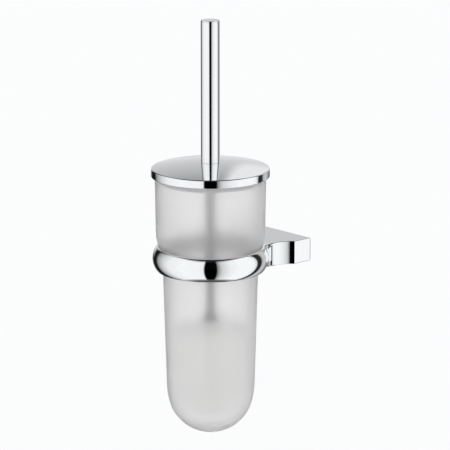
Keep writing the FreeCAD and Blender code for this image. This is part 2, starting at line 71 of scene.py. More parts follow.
# ---- Studio light ----
# Two tall soft boxes stand left and right of the view with a dark gap between them, black cards
# stand behind them, and a white sheet hangs at the back. They are far off, so they are the sky.


class Wire:
    """An output of a node. Sums with it add Math nodes to the same tree."""

    def __init__(self, socket):
        self.socket = socket
        self.tree = socket.id_data

    def math(self, operation, *others):
        node = self.tree.nodes.new("ShaderNodeMath")
        node.operation = operation
        for socket, value in zip(node.inputs, (self, *others)):
            connect(self.tree, socket, value)
        return Wire(node.outputs[0])

    def __add__(self, other):
        return self.math("ADD", other)

    def __sub__(self, other):
        return self.math("SUBTRACT", other)

    def __mul__(self, other):
        return self.math("MULTIPLY", other)

    def __truediv__(self, other):
        return self.math("DIVIDE", other)

    def __rsub__(self, other):
        return (self * -1) + other

    __radd__ = __add__
    __rmul__ = __mul__


def connect(tree, socket, value):
    """Links a wire to a socket, or sets the socket's own value."""
    if isinstance(value, Wire):
        tree.links.new(value.socket, socket)
    else:
        socket.default_value = value


def add(tree, kind, settings=None, inputs=None, outlet=0):
    """Adds a node: its settings first, then the values or wires of its sockets. Gives its outlet, or
    its outlets if several are named, as wires."""
    node = tree.nodes.new(kind)
    for name, value in (settings or {}).items():
        if name == "stops":
            elements = node.color_ramp.elements
            for position, grey in value:
                at_end = position in (0.0, 1.0)
                stop = elements[int(position)] if at_end else elements.new(position)
                stop.color = (grey, grey, grey, 1.0)
        else:
            setattr(node, name, value)
    for name, value in (inputs or {}).items():
        connect(tree, node.inputs[name], value)
    if isinstance(outlet, tuple):
        return [Wire(node.outputs[name]) for name in outlet]
    return Wire(node.outputs[outlet]) if node.outputs else None


def smooth_step(tree, value, start, end):
    """Rises smoothly from 0 at the start to 1 at the end."""
    settings = {"interpolation_type": "SMOOTHSTEP"}
    return add(tree, "ShaderNodeMapRange", settings, {"Value": value, "From Min": start, "From Max": end})


def blend_values(start, end, share):
    """A value between two, by a share from 0 to 1."""
    return start + (end - start) * share


def tinted(tree, share, dark, light):
    """A colour between two, by a share from 0 to 1."""
    return add(tree, "ShaderNodeMix", {"data_type": "RGBA"}, {0: share, 6: (*dark, 1), 7: (*light, 1)}, 2)


def grey_ramp(tree, share, stops):
    """The brightness that a row of stops gives for a share from 0 to 1."""
    ramp = add(tree, "ShaderNodeValToRGB", {"stops": stops}, {"Fac": share})
    return add(tree, "ShaderNodeRGBToBW", {}, {0: ramp})


# brightness round the horizon, by degrees to the right of the view
ROUND_LIGHT = (
    (-180, 0.32), (-166, 0.27), (-158, 0.07), (-152, 0.01), (-136, 0.006), (-131, 0.12), (-127, 0.33),
    (-118, 0.50), (-108, 0.68), (-92, 0.90), (-60, 0.99), (-20, 0.96), (-13.5, 0.88), (-11.5, 0.0),
    (12.5, 0.0), (14.5, 0.25), (23, 0.66), (40, 0.90), (60, 1.0), (80, 1.05), (97, 0.95), (104, 0.7),
    (107, 0.02), (120, 0.03), (124, 0.45), (134, 0.62), (144, 0.42), (158, 0.15), (169, 0.24), (180, 0.32),
)
# brightness of the sheet at the back, by the sine of the height
BACK_LIGHT = (
    (-1.0, 0.32), (-0.24, 0.35), (-0.14, 0.72), (0.0, 0.76), (0.14, 0.66), (0.24, 0.60), (0.42, 0.50),
    (0.60, 0.34), (1.0, 0.2),
)
# shares of the half turn between which the sheet takes over, and sines of the height at its foot
SHEET_SIDE = (0.80, 0.92)
SHEET_FOOT = (-0.20, -0.06)
# its brighter right half: where it starts and ends, how high it starts, and its brightness
BRIGHT_FROM, BRIGHT_TO, BRIGHT_FOOT, BRIGHT_LIGHT = (0.80, 0.90), (0.976, 0.990), (0.05, 0.3), 0.84
# the studio's dark ceiling and floor, by the sine of the height above and below the horizon
CEILING, CEILING_LIGHT = (0.66, 0.84), 0.02
PIT, PIT_LIGHT = (0.86, 0.97), 0.10
# what rough surfaces get is even and a little brighter than what polished ones mirror
STUDIO_TINT = (0.985, 0.995, 1.0)
SOFT_TINT, SOFT_LIGHT = (0.985, 0.99, 1.0, 1), 1.2
BACKDROP = (0.97, 0.97, 0.97, 1)

world = bpy.data.worlds.new("studio")
bpy.context.scene.world = world
world.use_nodes = True
sky = world.node_tree
sky.nodes.clear()

way = add(sky, "ShaderNodeTexCoord")
forward = add(sky, "ShaderNodeVectorMath", {"operation": "DOT_PRODUCT"}, {0: way, 1: to_view}, "Value")
sideways = add(sky, "ShaderNodeVectorMath", {"operation": "DOT_PRODUCT"}, {0: way, 1: view_right}, "Value")
height = add(sky, "ShaderNodeSeparateXYZ", {}, {0: way}, "Z")
turn = sideways.math("ARCTAN2", forward) / math.pi
round_stops = [((degrees + 180) / 360, light) for degrees, light in ROUND_LIGHT]
back_stops = [((sine + 1) / 2, light) for sine, light in BACK_LIGHT]
round_light = grey_ramp(sky, turn * 0.5 + 0.5, round_stops)
back_light = grey_ramp(sky, height * 0.5 + 0.5, back_stops)
bright = smooth_step(sky, turn, *BRIGHT_FROM) * (1 - smooth_step(sky, turn, *BRIGHT_TO))
back_light = blend_values(back_light, BRIGHT_LIGHT, bright * smooth_step(sky, height, *BRIGHT_FOOT))
behind = smooth_step(sky, turn.math("ABSOLUTE"), *SHEET_SIDE) * smooth_step(sky, height, *SHEET_FOOT)
light = blend_values(round_light, back_light, behind)
light = blend_values(light, CEILING_LIGHT, smooth_step(sky, height, *CEILING))
light = blend_values(light, PIT_LIGHT, smooth_step(sky, height * -1, *PIT))
light = tinted(sky, light, (0, 0, 0), STUDIO_TINT)
seen, glossy, through = add(
    sky, "ShaderNodeLightPath", outlet=("Is Camera Ray", "Is Glossy Ray", "Is Transmission Ray")
)
studio = add(sky, "ShaderNodeBackground", {}, {"Color": light})
soft = add(sky, "ShaderNodeBackground", {}, {"Color": SOFT_TINT, "Strength": SOFT_LIGHT})
plain = add(sky, "ShaderNodeBackground", {}, {"Color": BACKDROP})
lit = add(sky, "ShaderNodeMixShader", {}, {0: glossy * (1 - through), 1: soft, 2: studio})
shown = add(sky, "ShaderNodeMixShader", {}, {0: seen, 1: lit, 2: plain})
add(sky, "ShaderNodeOutputWorld", {}, {"Surface": shown})

# ---- Floor ----
# A pale matt floor lies well below the set, which hangs on the wall, and runs on behind it. It shows
# in no mirror and through no glass, so it only catches the light.

FLOOR_DROP = 0.28
FLOOR_HALF = 14.0
FLOOR_GREY = (0.6, 0.6, 0.6, 1)
FLOOR_GLOW = 0.265  # evens the floor out under the studio's light
WHITE = (1, 1, 1, 1)
SQUARE = ((-1, -1), (1, -1), (1, 1), (-1, 1))


def material_tree(name):
    """A new material and its empty node tree."""
    material = bpy.data.materials.new(name)
    material.use_nodes = True
    material.node_tree.nodes.clear()
    return material, material.node_tree


def paint(tree, inputs):
    """Ends a material in a Principled surface with these socket values."""
    surface = add(tree, "ShaderNodeBsdfPrincipled", {}, inputs)
    add(tree, "ShaderNodeOutputMaterial", {}, {"Surface": surface})


floor_material, floor_tree = material_tree("pale_floor")
paint(floor_tree, {
    "Base Color": FLOOR_GREY,
    "Roughness": 1.0,
    "Specular IOR Level": 0.0,
    "Emission Color": WHITE,
    "Emission Strength": FLOOR_GLOW,
})
floor_mesh = bpy.data.meshes.new("floor")
floor_height = glass_low.z - FLOOR_DROP
floor_corners = [(x * FLOOR_HALF, y * FLOOR_HALF, floor_height) for x, y in SQUARE]
floor_mesh.from_pydata(floor_corners, [], [(0, 1, 2, 3)])
floor_mesh.materials.append(floor_material)
floor = bpy.data.objects.new("floor", floor_mesh)
bpy.context.scene.collection.objects.link(floor)
floor.visible_glossy = False
floor.visible_transmission = False

# ---- Glass ring ----
# A cast and polished ring, bulging outside and bored for its plastic seat, with a ledge under the
# seat. Behind it a tapped spigot plugs into the bracket.

MM = 0.001  # outlines and sizes of pieces are in millimetres from here on
SAME = 1e-7  # points closer than this, in metres, are one
CORNER_STEPS = 5
ROD_STEPS = 64
SEAM = 0.05  # between pieces that fit against each other
OVERRUN = 2.0  # of a cutter past the face that it opens


def arc(centre, radius, start, end, steps):
    """Points on an arc, from one angle in degrees to another."""
    angles = [math.radians(start + (end - start) * step / steps) for step in range(steps + 1)]
    return [(centre[0] + radius * math.cos(a), centre[1] + radius * math.sin(a)) for a in angles]


def eased(corners):
    """An outline with rounded corners. A corner is (radius, height), or (radius, height, rounding)."""
    points = []
    count = len(corners)
    for index, corner in enumerate(corners):
        here = Vector(corner[:2])
        if len(corner) == 2:
            points.append(tuple(here))
            continue
        before = (Vector(corners[index - 1][:2]) - here).normalized()
        after = (Vector(corners[(index + 1) % count][:2]) - here).normalized()
        half = before.angle(after) / 2
        back_off = corner[2] / math.tan(half)
        middle = here + (before + after).normalized() * (corner[2] / math.sin(half))
        start, end = here + before * back_off - middle, here + after * back_off - middle
        sweep = start.angle_signed(end)
        for step in range(CORNER_STEPS + 1):
            turned_start = start.copy()
            turned_start.rotate(Matrix.Rotation(-sweep * step / CORNER_STEPS, 2))
            points.append(tuple(middle + turned_start))
    return points


def held(points, hold=0.12, closed=True):
    """The outline with a point close to each end of its long straights, so that they shade flat."""
    shortest = 6 * hold
    result = []
    count = len(points)
    for index, point in enumerate(points):
        result.append(point)
        if not closed and index == count - 1:
            break
        start, end = Vector(point), Vector(points[(index + 1) % count])
        length = (end - start).length
        if length > shortest:
            result.append(tuple(start.lerp(end, hold / length)))
            result.append(tuple(end.lerp(start, hold / length)))
    return result


def new_piece(name, shape):
    """Turns a bmesh into an object with outward, smooth faces."""
    bmesh.ops.remove_doubles(shape, verts=shape.verts, dist=SAME)
    bmesh.ops.recalc_face_normals(shape, faces=shape.faces)
    for face in shape.faces:
        face.smooth = True
    mesh = bpy.data.meshes.new(name)
    shape.to_mesh(mesh)
    shape.free()
    piece = bpy.data.objects.new(name, mesh)
    bpy.context.scene.collection.objects.link(piece)
    return piece


def turned(name, outline, steps, closed=True):
    """A solid turned about the glass's axis in this many steps. Its outline is in millimetres, closed
    or from pole to pole."""
    shape = bmesh.new()
    rings = []
    for radius, height in outline:
        if radius == 0:
            rings.append([shape.verts.new((AXIS.x, AXIS.y, height * MM))])
            continue
        ring = []
        for step in range(steps):
            angle = 2 * math.pi * step / steps
            x, y = radius * math.cos(angle) * MM, radius * math.sin(angle) * MM
            ring.append(shape.verts.new((AXIS.x + x, AXIS.y + y, height * MM)))
        rings.append(ring)
    pairs = list(zip(rings, rings[1:])) + ([(rings[-1], rings[0])] if closed else [])
    for low, high in pairs:
        for step in range(steps):
            after = (step + 1) % steps
            corners = {low[step % len(low)]: 0, low[after % len(low)]: 0}
            corners.update({high[after % len(high)]: 0, high[step % len(high)]: 0})
            if len(corners) > 2:
                shape.faces.new(list(corners))
    return new_piece(name, shape)


def carve(piece, cutter, operation="DIFFERENCE"):
    """Joins or cuts one solid with another, which is then thrown away, and merges doubled points."""
    modifier = piece.modifiers.new("carve", "BOOLEAN")
    modifier.object = cutter
    modifier.operation = operation
    modifier.solver = "EXACT"
    evaluated = piece.evaluated_get(bpy.context.evaluated_depsgraph_get())
    mesh = bpy.data.meshes.new_from_object(evaluated)
    shape = bmesh.new()
    shape.from_mesh(mesh)
    bmesh.ops.remove_doubles(shape, verts=shape.verts, dist=5 * SAME)
    shape.to_mesh(mesh)
    shape.free()
    piece.modifiers.clear()
    piece.data = mesh
    bpy.data.objects.remove(cutter)


def rod(name, start, end, radius):
    """A plain cylinder between two points, in metres."""
    shape = bmesh.new()
    run = Vector(end) - Vector(start)
    middle = Matrix.Translation((Vector(start) + Vector(end)) / 2)
    bmesh.ops.create_cone(
        shape,
        cap_ends=True,
        segments=ROD_STEPS,
        radius1=radius,
        radius2=radius,
        depth=run.length,
        matrix=middle @ run.to_track_quat("Z", "Y").to_matrix().to_4x4(),
    )
    return new_piece(name, shape)


def keep_edges(piece, degrees):
    """Shades the edges that turn by more than this as sharp ones."""
    piece.data.set_sharp_from_angle(angle=math.radians(degrees))


def dress(piece, material, body, slot, *nodes):
    """Gives a piece its material, its body and the nodes that it stands for. Its slot is not used."""
    piece.data.materials.clear()
    piece.data.materials.append(material)
    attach(piece, body)
    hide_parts(*nodes)


def noise(tree, place, scale, detail, roughness=0.5):
    """Even noise from 0 to 1 over the piece."""
    inputs = {"Vector": place, "Scale": scale, "Detail": detail, "Roughness": roughness}
    return add(tree, "ShaderNodeTexNoise", {}, inputs)


def relief(tree, height, strength, depth):
    """Fine unevenness of the surface, as deep as this in metres."""
    return add(tree, "ShaderNodeBump", {}, {"Height": height, "Strength": strength, "Distance": depth})


CHROME_DARK, CHROME_LIGHT = (0.90, 0.915, 0.93), (0.96, 0.965, 0.97)
CHROME_ROUGHNESS, CHROME_HAZE = 0.015, 0.06
RIPPLE_SCALE, RIPPLE_DEPTH = 55.0, 0.0004


def chrome(name, ripple, grain):
    """Polished chrome plate, near a mirror, with faint polishing haze and a slight ripple."""
    material, tree = material_tree(name)
    place = add(tree, "ShaderNodeTexCoord", outlet="Object")
    haze = noise(tree, place, grain, 6.0, 0.6)
    wave = noise(tree, place, RIPPLE_SCALE, 1.0)
    paint(tree, {
        "Base Color": tinted(tree, haze, CHROME_DARK, CHROME_LIGHT),
        "Metallic": 1.0,
        "Roughness": haze * CHROME_HAZE + CHROME_ROUGHNESS,
        "Normal": relief(tree, wave, ripple, RIPPLE_DEPTH),
    })
    return material


cast_chrome = chrome("cast_chrome", 0.10, 260.0)

ring_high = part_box("glass_ring")[1]
ring_top = ring_high.z / MM
ring_outer = ring_high.x / MM
ring_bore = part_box("ring_liner")[1].x / MM + SEAM
RING_EDGE = 2.4
RING_LAND = 0.1
RING_LIP = 1.4
RING_LIP_WIDTH = 1.8
RING_LIP_EASE = 0.3
RING_STEPS, BULGE_STEPS, EDGE_STEPS = 256, 40, 10
edge_radius = ring_bore + RING_LAND
ring_swell = ring_outer - edge_radius
ring_round = (ring_swell**2 + (ring_top - RING_EDGE) ** 2 - RING_EDGE**2) / (2 * (ring_swell - RING_EDGE))
ring_lean = math.degrees(math.atan2(ring_top - RING_EDGE, edge_radius - ring_outer + ring_round))
lip_bore = ring_bore - RING_LIP_WIDTH


def bulge(offset):
    """The ring's outside from its lower to its upper land, offset outwards."""
    low_edge, high_edge = (edge_radius, RING_EDGE - ring_top), (edge_radius, ring_top - RING_EDGE)
    return (
        arc(low_edge, RING_EDGE + offset, -90, -ring_lean, EDGE_STEPS)
        + arc((ring_outer - ring_round, 0), ring_round + offset, -ring_lean, ring_lean, BULGE_STEPS)[1:-1]
        + arc(high_edge, RING_EDGE + offset, ring_lean, 90, EDGE_STEPS)
    )


ring_foot = eased([
    (lip_bore, RING_LIP - ring_top, RING_LIP_EASE),
    (lip_bore, -ring_top, RING_LIP_EASE),
    (edge_radius, -ring_top),
])[:-1]
ring_seat = [(ring_bore, ring_top - RING_LAND), (ring_bore, RING_LIP - ring_top)]
glass_ring = turned("polished_ring", held(ring_foot + bulge(0) + ring_seat), RING_STEPS)
SPIGOT_RADIUS = 7.0
TAPPING_RADIUS = 2.5
TAPPING_DEPTH = 8.0
SPIGOT_ROOT = 2.5  # outside the bore
spigot_start = (AXIS.x, AXIS.y + (ring_bore + SPIGOT_ROOT) * MM, 0)
spigot_end = (AXIS.x, ring_high.y, 0)
carve(glass_ring, rod("spigot", spigot_start, spigot_end, SPIGOT_RADIUS * MM), "UNION")
tapping_start = (AXIS.x, ring_high.y - TAPPING_DEPTH * MM, 0)
tapping_end = (AXIS.x, ring_high.y + OVERRUN * MM, 0)
carve(glass_ring, rod("tapping", tapping_start, tapping_end, TAPPING_RADIUS * MM))
keep_edges(glass_ring, 40)
dress(glass_ring, cast_chrome, "holder", "chrome", "glass_ring")

# ---- Wall bracket ----
# A hollow casting, chromed like the ring. Its sides sweep in from two short flanks to the ring, which
# it hugs; from inside, a screw pulls the ring's spigot into its bore.

bracket_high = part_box("wall_bracket")[1]
HALF_WIDTH = bracket_high.x / MM
HALF_HEIGHT = bracket_high.z / MM
FLANK_DEPTH = 21.9
SIDE_ANGLE = 46.5
SIDE_ARC = 28.0
THROAT_ARC = 20.0
THROAT_SINK = 0.5
WALL_EDGE = 2.4
CAST_EDGE = 0.9
SWELL_EDGE = 8.0  # rounding of the sides where they run into the ring's bulge
FLANK_EDGE = 0.8
FLANK_ROOT = 6.0  # straight stretch of the flank behind its rounded edge
SHELL_WALL = 3.5
CAVITY_DEPTH = 15.6
SPIGOT_BORE = 7.05
SCREW_HOLE = 2.75
GRUB_HOLE = 2.5
GRUB_PLACE = 6.0
GRUB_FOOT, GRUB_TOP = -20.0, -5.0
SCREW_HOLE_END = 10.0
SPIGOT_ROOM = 0.3  # behind the spigot
SECTION_HOLD = 0.01
SIDE_STEPS, THROAT_STEPS, WALL_STEPS = 28, 14, 8
FLANK_STEPS = 4  # of the side, which the flank's rounding runs through
THROAT_FLAT_STEPS = 2  # of the throat, before the section swells
reach = -AXIS.y / MM
# everything here is seen from above, as (half width, distance in front of the wall)
side_centre = Vector((
    HALF_WIDTH + SIDE_ARC * math.cos(math.radians(SIDE_ANGLE)),
    FLANK_DEPTH + SIDE_ARC * math.sin(math.radians(SIDE_ANGLE)),
))
ring_centre = Vector((0, reach))
throat_reach = ring_outer - THROAT_SINK + THROAT_ARC
between = side_centre - ring_centre
side_turn = math.acos(
    (between.length**2 + throat_reach**2 - (SIDE_ARC - THROAT_ARC) ** 2) / (2 * between.length * throat_reach)
)
throat_way = math.atan2(-between.y, between.x) + side_turn
throat_centre = ring_centre + Vector((math.cos(throat_way), -math.sin(throat_way))) * throat_reach
side_end = side_centre + (throat_centre - side_centre).normalized() * SIDE_ARC
throat_end = ring_centre + (throat_centre - ring_centre).normalized() * (throat_reach - THROAT_ARC)


def arc_between(centre, start, end, steps):
    """Points on the shorter arc about a centre from one point to another."""
    first, last = Vector(start) - centre, Vector(end) - centre
    sweep = first.angle_signed(last)
    turned_points = []
    for step in range(steps + 1):
        arm = first.copy()
        arm.rotate(Matrix.Rotation(-sweep * step / steps, 2))
        turned_points.append(tuple(centre + arm))
    return turned_points


flank_corner = Vector((HALF_WIDTH, FLANK_DEPTH))
sweep_points = arc_between(side_centre, flank_corner, side_end, SIDE_STEPS)
throat_points = arc_between(throat_centre, side_end, throat_end, THROAT_STEPS)
wall_round = arc((HALF_WIDTH - WALL_EDGE, WALL_EDGE), WALL_EDGE, -90, 0, WALL_STEPS)
flank_round = eased([
    (HALF_WIDTH, FLANK_DEPTH - FLANK_ROOT),
    (HALF_WIDTH, FLANK_DEPTH, FLANK_EDGE),
    sweep_points[FLANK_STEPS],
])[1:-1]
side_line = wall_round + flank_round + sweep_points[FLANK_STEPS:] + throat_points[1:]
side_line = held(side_line + [(throat_end.x, reach - ring_bore / 2)], closed=False)
blend_from, blend_to = throat_points[THROAT_FLAT_STEPS][1], throat_points[-1][1]
shape = bmesh.new()
section_rings = []
for half_width, depth in side_line:
    inset = WALL_EDGE - math.sqrt(max(WALL_EDGE**2 - max(WALL_EDGE - depth, 0) ** 2, 0))
    half_height = HALF_HEIGHT - inset
    blended = min(max((depth - blend_from) / (blend_to - blend_from), 0), 1)
    edge = CAST_EDGE + (SWELL_EDGE - CAST_EDGE) * blended**2
    section = held(eased([(x * half_width, z * half_height, edge) for x, z in SQUARE]), SECTION_HOLD)
    section_rings.append([shape.verts.new((x * MM, -depth * MM, z * MM)) for x, z in section])
for near, far in zip(section_rings, section_rings[1:]):
    for index, corner in enumerate(near):
        after = (index + 1) % len(near)
        shape.faces.new((corner, near[after], far[after], far[index]))
shape.faces.new(section_rings[0])
shape.faces.new(section_rings[-1])
wall_bracket = new_piece("cast_bracket", shape)


def block(name, low, high):
    """A plain box between two corners in millimetres, for cutting."""
    shape = bmesh.new()
    size = Matrix.Diagonal((*(Vector(high) - Vector(low)), 1))
    middle = Matrix.Translation((Vector(high) + Vector(low)) / 2)
    bmesh.ops.create_cube(shape, size=1, matrix=Matrix.Scale(MM, 4) @ middle @ size)
    return new_piece(name, shape)


saddle_outline = (
    [(0, -2 * ring_top), (edge_radius, -2 * ring_top)]
    + bulge(SEAM)
    + [(edge_radius, 2 * ring_top), (0, 2 * ring_top)]
)
carve(wall_bracket, turned("saddle", saddle_outline, RING_STEPS, closed=False))
cavity_half, cavity_top = HALF_WIDTH - SHELL_WALL, HALF_HEIGHT - SHELL_WALL
cavity_low = (-cavity_half, -CAVITY_DEPTH, -cavity_top)
carve(wall_bracket, block("cavity", cavity_low, (cavity_half, OVERRUN, cavity_top)))
bore_end = ring_high.y + SPIGOT_ROOM * MM
screw_hole_start = (0, bore_end - OVERRUN * MM, 0)
grub_start, grub_end = (0, -GRUB_PLACE * MM, GRUB_FOOT * MM), (0, -GRUB_PLACE * MM, GRUB_TOP * MM)
carve(wall_bracket, rod("spigot_bore", (0, AXIS.y, 0), (0, bore_end, 0), SPIGOT_BORE * MM))
carve(wall_bracket, rod("screw_hole", screw_hole_start, (0, -SCREW_HOLE_END * MM, 0), SCREW_HOLE * MM))
carve(wall_bracket, rod("grub_hole", grub_start, grub_end, GRUB_HOLE * MM))
keep_edges(wall_bracket, 32)
dress(wall_bracket, cast_chrome, "holder", "chrome", "wall_bracket")

# ---- Wall plate and small fasteners ----
# A pressed steel plate, zinc plated, is screwed to the wall inside the bracket. A grub screw from
# below draws the bracket on to its lip, and a socket screw with a spring washer holds the ring.


GRAIN_SPREAD, BLOTCH_SPREAD, BLOTCH_SCALE = 0.2, 0.12, 140.0
GRAIN_DEPTH = 0.0001


def metal(name, dark, light, roughness, grain, stretch=(1, 1, 1)):
    """Plain or plated metal with a fine grain, blotches and small scratches."""
    material, tree = material_tree(name)
    place = add(tree, "ShaderNodeTexCoord", outlet="Object")
    lines = add(tree, "ShaderNodeMapping", {}, {"Vector": place, "Scale": stretch})
    fine = noise(tree, lines, grain, 5.0)
    blotch = noise(tree, place, BLOTCH_SCALE, 3.0)
    smoothest = roughness - (GRAIN_SPREAD + BLOTCH_SPREAD) / 2
    paint(tree, {
        "Base Color": tinted(tree, blotch, dark, light),
        "Metallic": 1.0,
        "Roughness": fine * GRAIN_SPREAD + blotch * BLOTCH_SPREAD + smoothest,
        "Normal": relief(tree, fine, 0.25, GRAIN_DEPTH),
    })
    return material


def finish_node(node, material):
    """Gives a CAD node that stays in view its material."""
    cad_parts[node].data.materials.clear()
    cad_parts[node].data.materials.append(material)


zinc = metal("zinc_plate", (0.50, 0.54, 0.60), (0.78, 0.80, 0.80), 0.34, 900.0)
bright_steel = metal("bright_steel", (0.52, 0.53, 0.55), (0.68, 0.69, 0.71), 0.27, 1500.0)
black_steel = metal("blackened_steel", (0.045, 0.045, 0.05), (0.11, 0.11, 0.12), 0.4, 1200.0)
brass = metal("turned_brass", (0.70, 0.48, 0.20), (0.86, 0.65, 0.33), 0.25, 1100.0, (0.15, 0.15, 1))
finish_node("wall_plate", zinc)
finish_node("ring_screw_washer", zinc)
for fastener in ("ring_screw", "bracket_grub_screw"):
    finish_node(fastener, black_steel)

# ---- Ring's plastic seat ----
# A clear plastic liner pressed into the ring's bore. The glass's waist sits in it without touching
# metal, and the lip under it keeps it from falling through.


CLOUD_SPREAD, CLOUD_SCALE = 0.12, 45.0
MOULD_SCALE, MOULD_DEPTH = 1800.0, 0.00005


def plastic(name, dark, light, roughness, inputs):
    """Moulded plastic with a faint mould texture and slight unevenness of colour."""
    material, tree = material_tree(name)
    place = add(tree, "ShaderNodeTexCoord", outlet="Object")
    cloud = noise(tree, place, CLOUD_SCALE, 2.0)
    mould = noise(tree, place, MOULD_SCALE, 3.0)
    paint(tree, {
        "Base Color": tinted(tree, cloud, dark, light),
        "Roughness": cloud * CLOUD_SPREAD + (roughness - CLOUD_SPREAD / 2),
        "Normal": relief(tree, mould, 0.15, MOULD_DEPTH),
        **inputs,
    })
    return material


clear_plastic = plastic(
    "clear_liner_plastic", (0.80, 0.82, 0.82), (0.92, 0.93, 0.93), 0.2, {"Transmission Weight": 0.7}
)
finish_node("ring_liner", clear_plastic)

# ---- Glass tumbler ----
# Blown glass with a round bottom, satin etched all over. It swells above the waist that rests in the
# ring, and its rim is fire-polished round.

RIM_TOP = glass_high.z / MM
BOTTOM = -glass_low.z / MM
WAIST = 44.7
SHOULDER = WAIST + 6.1
TURN_HEIGHT = 8.6
BELLY_ARC, WAIST_ARC, KNUCKLE_ARC = 37.0, 18.0, 70.0
KNUCKLE_INSET = 1.0
LEAN, TAPER = 0.84, 1.58
GLASS_WALL = 3.5
RIM_ROUND = 1.55
BELLY_STEPS, WAIST_STEPS, KNUCKLE_STEPS, BOWL_STEPS, RIM_STEPS = 20, 12, 12, 28, 6
GLASS_STEPS = 224
GLASS_HOLD = 0.4
POLE = 0.001  # a radius under this is the middle of the bottom


def glass_face(offset):
    """The tumbler's outline from its rim down to its pole, offset outwards from the outer face."""
    out, down_out, down_up = (
        math.cos(math.radians(LEAN)), math.cos(math.radians(TAPER)), math.sin(math.radians(TAPER))
    )
    turn_out = (BELLY_ARC * out + WAIST_ARC * down_out - SHOULDER + WAIST) / (BELLY_ARC + WAIST_ARC)
    turn_down = math.sqrt(1 - turn_out**2)
    turn_angle = math.degrees(math.acos(turn_out))
    belly = Vector((SHOULDER - BELLY_ARC * out, TURN_HEIGHT + BELLY_ARC * turn_down))
    waist = belly + Vector((turn_out, -turn_down)) * (BELLY_ARC + WAIST_ARC)
    line = (waist.x - WAIST_ARC * down_out) * down_out - (waist.y + WAIST_ARC * down_up) * down_up
    bowl_radius = (line - BOTTOM * down_up - KNUCKLE_INSET) / (1 - down_up)
    bowl = Vector((0, bowl_radius - BOTTOM))
    arm = KNUCKLE_ARC - bowl_radius
    inward = arm - KNUCKLE_INSET
    upward = math.sqrt(arm**2 - inward**2)
    knuckle = Vector((upward * down_up - inward * down_out, bowl.y + inward * down_up + upward * down_out))
    bowl_angle = math.degrees(math.atan2(bowl.y - knuckle.y, -knuckle.x))
    belly_points = arc(belly, BELLY_ARC + offset, -LEAN, -turn_angle, BELLY_STEPS)
    rim_radius = belly_points[0][0] + (RIM_TOP - belly_points[0][1]) * math.tan(math.radians(LEAN))
    return (
        [(rim_radius, RIM_TOP)]
        + belly_points
        + arc(waist, WAIST_ARC - offset, 180 - turn_angle, 180 - TAPER, WAIST_STEPS)[1:]
        + arc(knuckle, KNUCKLE_ARC + offset, -TAPER, bowl_angle, KNUCKLE_STEPS)
        + arc(bowl, bowl_radius + offset, bowl_angle, -90, BOWL_STEPS)[1:]
    )


outer_face, inner_face = glass_face(0), glass_face(-GLASS_WALL)
rim_radius, inner_rim = outer_face[0][0], inner_face[0][0]
rim = arc((inner_rim + RIM_ROUND, RIM_TOP - RIM_ROUND), RIM_ROUND, 180, 90, RIM_STEPS)
rim += arc((rim_radius - RIM_ROUND, RIM_TOP - RIM_ROUND), RIM_ROUND, 90, 0, RIM_STEPS)
tumbler_outline = [
    (0.0 if radius < POLE else radius, height) for radius, height in inner_face[:0:-1] + rim + outer_face[1:]
]
tumbler_outline = held(tumbler_outline, GLASS_HOLD, closed=False)
tumbler = turned("satin_tumbler", tumbler_outline, GLASS_STEPS, closed=False)

ETCH_SCALE, ETCH_DEPTH, ETCH_ROUGHNESS, ETCH_SPREAD, STREAK_SPREAD = 2600.0, 0.00004, 0.25, 0.08, 0.04
satin_glass, tree = material_tree("satin_glass")
place = add(tree, "ShaderNodeTexCoord", outlet="Object")
frost = noise(tree, place, ETCH_SCALE, 3.0, 0.7)
cloud = noise(tree, place, 18.0, 3.0)
paint(tree, {
    "Base Color": tinted(tree, cloud, (0.93, 0.925, 0.925), (0.985, 0.98, 0.98)),
    "Roughness": frost * ETCH_SPREAD + cloud * STREAK_SPREAD + ETCH_ROUGHNESS,
    "IOR": 1.5,
    "Transmission Weight": 0.85,
    "Normal": relief(tree, frost, 0.35, ETCH_DEPTH),
})
dress(tumbler, satin_glass, "glass", "frosted_glass", "glass_tumbler")

# ---- Lid ----
# A shallow dome pressed from sheet and chromed, with a plain band that hangs over the glass's rim. A
# white plastic liner fills it, and its skirt centres the lid in the glass.

lid_low, lid_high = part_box("lid_shell")
LID_OUTER = lid_high.x / MM
LID_FOOT = lid_low.z / MM
LID_SEAT = lid_high.z / MM
LID_WALL = 1.2
LID_INNER = LID_OUTER - LID_WALL
BAND_TOP = LID_FOOT + 7.4
LID_EDGE = 1.5
HANDLE_RADIUS = 8.7
STEM_HOLE = 4.3
LID_STEPS, LINER_STEPS, HANDLE_STEPS = 224, 160, 128
DOME_START = HANDLE_RADIUS + 4.0  # where the dome under the handle's flat seat begins
EDGE_RUN = 4.0  # of the dome into the edge's rounding
BAND_RUN = 3.0
dome_height = (HANDLE_RADIUS**2 + LID_SEAT**2 - LID_OUTER**2 - BAND_TOP**2) / (2 * (LID_SEAT - BAND_TOP))
dome_radius = math.hypot(HANDLE_RADIUS, LID_SEAT - dome_height)


def dome(depth, start, end, steps):
    """Points on the dome that far under its outer face, from one radius to another."""
    radii = [start + (end - start) * step / steps for step in range(steps + 1)]
    return [(r, dome_height + math.sqrt((dome_radius - depth) ** 2 - r**2)) for r in radii]


